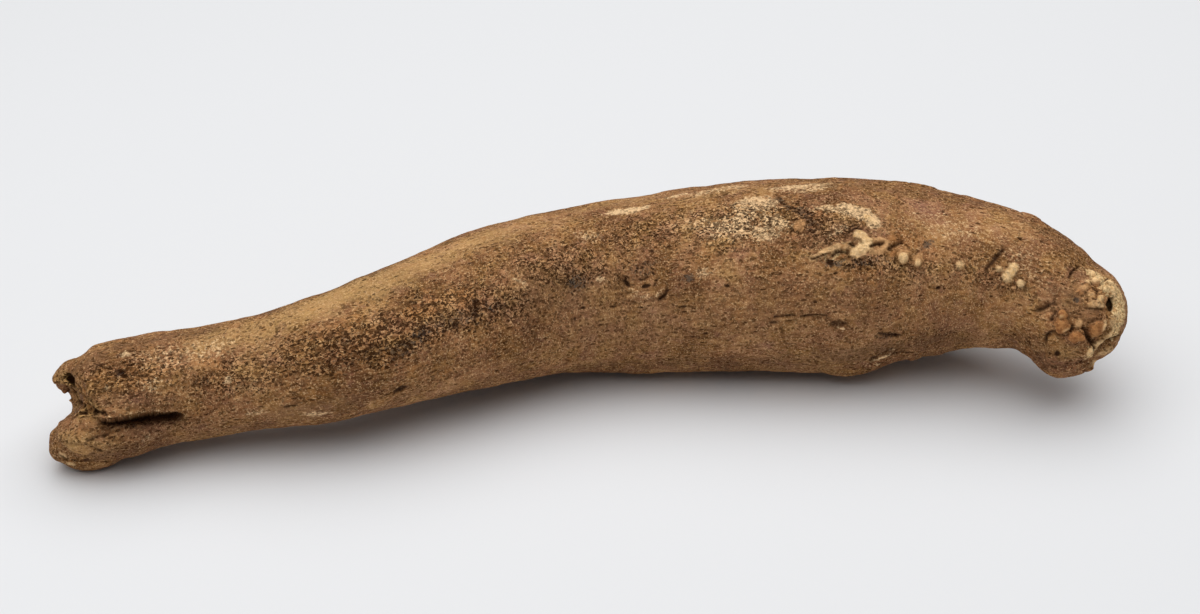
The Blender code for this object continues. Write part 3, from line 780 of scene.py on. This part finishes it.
def carve(bone):
    """Gives the smooth bone its relief, and stores at each vertex what tints it."""
    mesh = bone.data
    points, normals = vertex_arrays(mesh)
    grain = along_bone(points)
    tree = solid_tree()
    wobble = noise_at(points / MM, 1.4, 2)
    height = np.zeros(len(points))
    tints = {name: np.zeros(len(points)) for name in TINTS}
    lay_fields(tree, points, 0.5 * wobble + noise_at(points / MM, 5, 2), tints)
    lay_ridges(tree, points, wobble, height, tints)
    lay_spots(tree, points, wobble, height, tints)
    lay_cracks(tree, points, wobble, height, tints)
    lay_ledges(tree, points, height, tints)
    lay_swellings(tree, points, height)
    bare = 1 - 0.35 * np.maximum(tints["crust"], tints["amber"])
    opened = 0.6 * tints["porous"] + 1.2 * tints["spongy"] + tints["craggy"] - 0.3 * tints["smooth"]
    rough = bare * np.clip(0.45 + opened, 0.15, 2.2)
    crags = 1 - np.abs(noise_at(grain * [0.6, 1, 1] + 90, CRAG_SPACING, 3)) * 3
    height -= CRAG_DEPTH * np.clip(crags, 0, 1) * tints["craggy"]
    height += LUMP_HEIGHT * noise_at(grain, LUMP_SPACING, 2)
    height += RUBBLE_HEIGHT * noise_at(grain + 50, RUBBLE_SPACING, 3) * rough
    height += FIBRE_HEIGHT * noise_at(grain * [FIBRE_WIDTH / FIBRE_LENGTH, 1, 1], FIBRE_WIDTH, 2) * bare
    height -= PORE_DEPTH * pores_at(grain * [0.7, 1, 1], PORE_SPACING) * rough
    points += normals * height[:, None] * MM
    points[:, 2] = np.maximum(points[:, 2], 0)
    mesh.vertices.foreach_set("co", points.ravel())
    mesh.update()
    keep_attribute(mesh, "grain", grain, "FLOAT_VECTOR", "vector")
    for name, values in tints.items():
        keep_attribute(mesh, name, values)
    detailed = np.max([tints[name] for name in ("recess_shade", "crust", "amber", "spongy")], axis=0) > KEPT_FINE_ABOVE
    bone.vertex_groups.new(name="detailed").add(np.flatnonzero(detailed).tolist(), 1, "REPLACE")


def thin_out(bone):
    """Takes triangles away where the carved bone is smoothest, down to the most a piece may have."""
    triangles = sum(len(p.vertices) - 2 for p in bone.data.polygons)
    thinned = bone.modifiers.new("thinned", "DECIMATE")
    thinned.ratio = min(1, MOST_TRIANGLES / triangles)
    thinned.vertex_group = "detailed"
    thinned.invert_vertex_group = True
    mesh = baked(bone, thinned)
    mesh.polygons.foreach_set("use_smooth", [True] * len(mesh.polygons))


class Nodes:
    """A material's node tree, built in code. Each call adds a node and returns the output that the next one reads."""

    def __init__(self, material):
        self.tree = material.node_tree

    def add(self, kind, inputs=None, output=0, **settings):
        node = self.tree.nodes.new(kind)
        for name, value in settings.items():
            setattr(node, name, value)
        for name, value in (inputs or {}).items():
            if isinstance(value, bpy.types.NodeSocket):
                self.tree.links.new(value, node.inputs[name])
            else:
                node.inputs[name].default_value = value
        return node.outputs[output]

    def attribute(self, name, output="Fac"):
        return self.add("ShaderNodeAttribute", output=output, attribute_name=name)

    def math(self, operation, *values, clamp=False):
        return self.add("ShaderNodeMath", dict(enumerate(values)), operation=operation, use_clamp=clamp)

    def scaled(self, vector, scale):
        return self.add("ShaderNodeVectorMath", {0: vector, 1: scale}, operation="MULTIPLY")

    def noise(self, vector, scale, detail=2, roughness=0.5, distortion=0, output="Fac"):
        return self.add(
            "ShaderNodeTexNoise",
            {"Vector": vector, "Scale": scale, "Detail": detail, "Roughness": roughness, "Distortion": distortion},
            output=output,
        )

    def cells(self, vector, scale, output="Distance"):
        return self.add("ShaderNodeTexVoronoi", {"Vector": vector, "Scale": scale}, output=output)

    def ranged(self, value, low, high, to_low=0, to_high=1):
        """value from low to high, brought smoothly to between to_low and to_high."""
        return self.add(
            "ShaderNodeMapRange",
            {"Value": value, "From Min": low, "From Max": high, "To Min": to_low, "To Max": to_high},
            interpolation_type="SMOOTHSTEP",
        )

    def mixed(self, share, first, second, blend="MIX"):
        node = self.tree.nodes.new("ShaderNodeMix")
        node.data_type = "RGBA"
        node.blend_type = blend
        for socket, value in ((node.inputs[0], share), (node.inputs[6], first), (node.inputs[7], second)):
            if isinstance(value, bpy.types.NodeSocket):
                self.tree.links.new(value, socket)
            else:
                socket.default_value = value
        return node.outputs[2]

    def ramp(self, value, stops):
        node = self.tree.nodes.new("ShaderNodeValToRGB")
        elements = node.color_ramp.elements
        while len(elements) < len(stops):
            elements.new(1)
        for element, (place, colour) in zip(elements, stops):
            element.position = place
            element.color = colour
        self.tree.links.new(value, node.inputs[0])
        return node.outputs[0]


# Colours of the bone, in linear light.
# Painted shade: the black that darkens pores, pits, cracks, moats and the furrow under the ledge.
PORE_SHADE_BLACK = (0.030, 0.010, 0.003, 1)
DEEP_BROWN = (0.15, 0.064, 0.022, 1)
BROWN = (0.33, 0.160, 0.062, 1)
TAN = (0.52, 0.285, 0.125, 1)
LIGHT_TAN = (0.80, 0.50, 0.25, 1)
OCHRE = (0.55, 0.330, 0.125, 1)
# The pale colour also paints highlights along the lips of the cleft and the keel's ledge.
PALE_AND_HIGHLIGHT = (0.98, 0.66, 0.355, 1)
CREAM = (1.0, 0.67, 0.34, 1)
CRUST_BROWN = (0.80, 0.47, 0.18, 1)
FILM_BROWN = (0.50, 0.27, 0.090, 1)
FILM_CREAM = (1.0, 0.71, 0.36, 1)
AMBER = (0.54, 0.240, 0.080, 1)
AMBER_BROWN = (0.32, 0.120, 0.038, 1)
RUST = (0.50, 0.21, 0.065, 1)
RED_BROWN = (0.34, 0.150, 0.100, 1)
BLUE_BLACK = (0.088, 0.071, 0.055, 1)
# The stain colour also paints shade under the cleft's lip.
STAIN_AND_SHADE_BLACK = (0.062, 0.043, 0.030, 1)
# The umber colour also paints shade along the bone's low side.
UMBER_AND_SHADE = (0.155, 0.078, 0.038, 1)
SPONGE_GOLD = (0.90, 0.54, 0.20, 1)
OLIVE_CAST = (0.97, 0.95, 0.80, 1)
NO_CAST = (1.0, 0.96, 0.93, 1)
PLUM_CAST = (0.93, 0.85, 0.92, 1)


def broken(nodes, tint, grit, reach, low, high):
    """A tint's share where it is broken up by grit: solid at full strength, and only flecks where it fades."""
    raised = nodes.math("ADD", grit, nodes.math("MULTIPLY", tint, reach))
    return nodes.math("MULTIPLY", nodes.ranged(raised, low, high), nodes.ranged(tint, 0.02, 0.2))


def pore_cover(nodes, grain, mottle, tint):
    """How far each place is inside a pore: round fine pores, a few coarse ones and worm-shaped gaps between them."""
    stray = nodes.noise(grain, 0.9, 4, 0.6, output="Color")
    strayed = nodes.add(
        "ShaderNodeVectorMath",
        {0: nodes.scaled(stray, (1.0, 1.0, 1.0)), 1: nodes.scaled(grain, (0.82, 1, 1))},
        operation="ADD",
    )
    fine = nodes.ranged(nodes.cells(strayed, 1.45), 0.43, 0.31)
    coarse = nodes.ranged(nodes.cells(strayed, 0.8), 0.40, 0.28)
    sponge = nodes.ranged(nodes.cells(strayed, 1.2), 0.62, 0.46)
    worm = nodes.math("ABSOLUTE", nodes.math("SUBTRACT", nodes.noise(strayed, 1.5, 1, 0.4), 0.5))
    gap = nodes.math("MULTIPLY", nodes.ranged(worm, 0.05, 0.015), nodes.ranged(tint["porous"], 0, 0.8, 0.2, 1))
    open_skin = nodes.math("ADD", nodes.math("MULTIPLY", tint["porous"], 0.5), nodes.math("MULTIPLY", tint["spongy"], 0.7))
    open_skin = nodes.math("ADD", open_skin, nodes.ranged(mottle, 0.36, 0.60, 0.15, 0.7))
    open_skin = nodes.math("SUBTRACT", open_skin, nodes.math("MULTIPLY", tint["pale_and_highlight"], 0.1))
    open_skin = nodes.math("ADD", open_skin, nodes.math("MULTIPLY", tint["stain_and_shade"], 0.3))
    open_skin = nodes.math("SUBTRACT", open_skin, nodes.math("MULTIPLY", tint["smooth"], 0.6))
    sealed = nodes.math("MAXIMUM", nodes.math("MULTIPLY", tint["crust"], 0.6), nodes.math("MULTIPLY", tint["amber"], 0.75))
    sealed = nodes.math("MAXIMUM", sealed, nodes.math("MULTIPLY", tint["film"], 0.5))
    open_skin = nodes.math("MULTIPLY", open_skin, nodes.math("SUBTRACT", 1, sealed), clamp=True)
    wide = nodes.math("MULTIPLY", coarse, nodes.math("MULTIPLY", tint["porous"], 0.7))
    wide = nodes.math("MAXIMUM", wide, nodes.math("MULTIPLY", sponge, tint["spongy"]))
    holes = nodes.math("MAXIMUM", nodes.math("MAXIMUM", fine, gap), wide)
    holes = nodes.math("MULTIPLY", holes, open_skin, clamp=True)
    return nodes.math("MAXIMUM", holes, slit_cover(nodes, grain, sealed))


def slit_cover(nodes, grain, sealed):
    """Short slits along the grain, in loose swarms, painted dark as the shade in them."""
    long_grain = nodes.scaled(grain, (0.3, 1, 1))
    cell = nodes.tree.nodes.new("ShaderNodeTexVoronoi")
    cell.inputs["Scale"].default_value = 1.15
    nodes.tree.links.new(long_grain, cell.inputs["Vector"])
    slit = nodes.ranged(cell.outputs["Distance"], 0.24, 0.13)
    swarm = nodes.ranged(nodes.noise(grain, 0.16, 2, 0.6), 0.42, 0.62, 0.25, 0.8)
    chosen = nodes.math("LESS_THAN", nodes.add("ShaderNodeSeparateColor", {"Color": cell.outputs["Color"]}), swarm)
    slit = nodes.math("MULTIPLY", slit, nodes.math("MULTIPLY", chosen, 0.8))
    return nodes.math("MULTIPLY", slit, nodes.math("SUBTRACT", 1, sealed), clamp=True)


def bone_colour(nodes, grain, tint, fibre, mottle, speck, pore):
    broad = nodes.noise(grain, 0.085, 4, 0.6)
    hue = nodes.noise(grain, 0.33, 3, 0.6)
    grit = nodes.noise(grain, 1.5, 4, 0.7)
    tone = nodes.math("ADD", nodes.math("MULTIPLY", fibre, 0.5), nodes.math("MULTIPLY", mottle, 0.35))
    tone = nodes.math("ADD", tone, -0.002)
    tone = nodes.math("ADD", tone, nodes.math("MULTIPLY", nodes.math("SUBTRACT", broad, 0.5), 0.5))
    tone = nodes.math("ADD", tone, nodes.math("MULTIPLY", tint["porous"], 0.09))
    tone = nodes.math("ADD", tone, nodes.math("MULTIPLY", tint["smooth"], 0.06))
    colour = nodes.ramp(tone, [(0.32, DEEP_BROWN), (0.44, BROWN), (0.56, TAN), (0.72, LIGHT_TAN)])
    cast = nodes.ramp(nodes.noise(grain, 0.2, 3, 0.6), [(0.38, OLIVE_CAST), (0.5, NO_CAST), (0.62, PLUM_CAST)])
    colour = nodes.mixed(1, colour, cast, "MULTIPLY")
    colour = nodes.mixed(nodes.math("MULTIPLY", tint["ochre"], nodes.ranged(grit, 0.35, 0.6, 0.4, 0.75)), colour, OCHRE)
    rust = nodes.math("ADD", nodes.math("MULTIPLY", tint["rust"], 0.6), nodes.ranged(hue, 0.54, 0.70, 0, 0.35))
    colour = nodes.mixed(nodes.math("MULTIPLY", rust, nodes.ranged(grit, 0.35, 0.6, 0.4, 1), clamp=True), colour, RUST)
    red = nodes.math("ADD", nodes.math("MULTIPLY", tint["red"], 0.8), nodes.ranged(hue, 0.44, 0.32, 0, 0.4))
    colour = nodes.mixed(nodes.math("MULTIPLY", red, nodes.ranged(grit, 0.35, 0.6, 0.3, 0.8), clamp=True), colour, RED_BROWN)
    colour = nodes.mixed(nodes.math("MULTIPLY", tint["umber_and_shade"], nodes.ranged(grit, 0.30, 0.65, 0.85, 0.45)), colour, UMBER_AND_SHADE)
    light = nodes.math("MULTIPLY", nodes.ranged(speck, 0.52, 0.66, 0, 0.8), nodes.ranged(mottle, 0.35, 0.6, 0.4, 1))
    light = nodes.math("MULTIPLY", light, nodes.math("SUBTRACT", 1, nodes.math("MULTIPLY", tint["umber_and_shade"], 0.5)))
    colour = nodes.mixed(light, colour, LIGHT_TAN)
    colour = nodes.mixed(nodes.math("MULTIPLY", tint["spongy"], nodes.ranged(grit, 0.35, 0.6, 0.2, 0.9)), colour, SPONGE_GOLD)
    for name, paint, reach, most in (
        ("pale_and_highlight", PALE_AND_HIGHLIGHT, 0.34, 0.85),
        ("stain_and_shade", STAIN_AND_SHADE_BLACK, 0.25, 0.8),
        ("blue", BLUE_BLACK, 0.30, 0.8),
    ):
        share = broken(nodes, tint[name], grit, reach, 0.60, 0.82)
        colour = nodes.mixed(nodes.math("MULTIPLY", share, most), colour, paint)
    patchy = nodes.ranged(grit, 0.32, 0.54)
    amber = nodes.mixed(nodes.ranged(grit, 0.40, 0.58), AMBER_BROWN, AMBER)
    crust = nodes.mixed(patchy, CRUST_BROWN, CREAM)
    film = nodes.mixed(nodes.ranged(speck, 0.37, 0.51), FILM_BROWN, FILM_CREAM)
    film = nodes.mixed(nodes.ranged(grit, 0.50, 0.38, 0, 0.7), film, AMBER)
    colour = nodes.mixed(nodes.math("MULTIPLY", broken(nodes, tint["film"], grit, 0.50, 0.60, 0.80), 0.95), colour, film)
    colour = nodes.mixed(nodes.math("MULTIPLY", tint["amber"], 0.9), colour, amber)
    colour = nodes.mixed(nodes.math("MULTIPLY", tint["crust"], 0.95), colour, crust)
    # Painted shade: pores, then pits, cracks, moats and the ledge's furrow, are darkened towards black.
    colour = nodes.mixed(nodes.math("MULTIPLY", pore, 0.92), colour, PORE_SHADE_BLACK)
    return nodes.mixed(nodes.math("MULTIPLY", tint["recess_shade"], 0.92, clamp=True), colour, PORE_SHADE_BLACK)


def bone_material():
    material = bpy.data.materials.new("fossil_bone_skin")
    material.use_nodes = True
    nodes = Nodes(material)
    link = material.node_tree.links.new
    shader = material.node_tree.nodes["Principled BSDF"]
    grain = nodes.attribute("grain", "Vector")
    tint = {name: nodes.attribute(name) for name in TINTS}
    mottle = nodes.noise(grain, 0.75, 4, 0.65)
    fibre = nodes.noise(nodes.scaled(grain, (0.25, 1, 1)), 1.7, 4, 0.65, 0.4)
    speck = nodes.noise(grain, 3.2, 2, 0.6)
    pore = pore_cover(nodes, grain, mottle, tint)
    link(bone_colour(nodes, grain, tint, fibre, mottle, speck, pore), shader.inputs["Base Color"])

    relief = nodes.math("MULTIPLY", pore, -1.0)
    relief = nodes.math("ADD", relief, nodes.math("MULTIPLY", fibre, 0.6))
    relief = nodes.math("ADD", relief, nodes.math("MULTIPLY", mottle, 0.8))
    relief = nodes.math("ADD", relief, nodes.math("MULTIPLY", speck, 0.4))
    link(nodes.add("ShaderNodeBump", {"Strength": 1, "Distance": 0.00035, "Height": relief}), shader.inputs["Normal"])
    link(nodes.ranged(mottle, 0.3, 0.7, 0.72, 0.9), shader.inputs["Roughness"])
    link(nodes.ranged(pore, 0, 0.6, 0.12, 0.01), shader.inputs["Specular IOR Level"])
    return material


def dress_bone():
    bone = fine_bone()
    carve(bone)
    thin_out(bone)
    bone.data.materials.clear()
    bone.data.materials.append(bone_material())
    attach(bone, next(iter(frame["bodies"])))
    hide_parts("baculum")


def add_floor():
    bpy.ops.mesh.primitive_plane_add(size=12)
    floor = bpy.context.object
    floor.name = "floor"
    material = bpy.data.materials.new("floor_white")
    material.use_nodes = True
    shader = material.node_tree.nodes["Principled BSDF"]
    shader.inputs["Base Color"].default_value = (0.772, 0.778, 0.79, 1)
    shader.inputs["Roughness"].default_value = 0.9
    shader.inputs["Specular IOR Level"].default_value = 0.1
    floor.data.materials.append(material)


def add_light(name, place, size, power, tint=(1, 1, 1)):
    lamp = bpy.data.lights.new(name, "AREA")
    lamp.shape = "RECTANGLE"
    lamp.size = size[0]
    lamp.size_y = size[1]
    lamp.energy = power
    lamp.color = tint
    light = bpy.data.objects.new(name, lamp)
    light.location = place
    light.rotation_euler = (AIM - Vector(place)).to_track_quat("-Z", "Y").to_euler()
    bpy.context.scene.collection.objects.link(light)


def light_scene():
    world = bpy.data.worlds.new("studio")
    world.use_nodes = True
    background = world.node_tree.nodes["Background"]
    background.inputs["Color"].default_value = (0.96, 0.975, 1, 1)
    background.inputs["Strength"].default_value = 0.16
    bpy.context.scene.world = world
    add_light("overhead", (-0.03, 0.03, 0.70), (1.6, 1.1), 10.1)
    bpy.context.scene.view_settings.view_transform = "Standard"


def add_camera():
    lens = bpy.data.cameras.new("camera")
    lens.lens = LENS
    lens.sensor_width = SENSOR
    lens.clip_start = 0.01
    camera = bpy.data.objects.new("camera", lens)
    camera.matrix_world = Matrix.Translation(EYE) @ Matrix((RIGHT, UP, BACK)).transposed().to_4x4()
    bpy.context.scene.collection.objects.link(camera)
    bpy.context.scene.camera = camera


dress_bone()
add_floor()
light_scene()
add_camera()
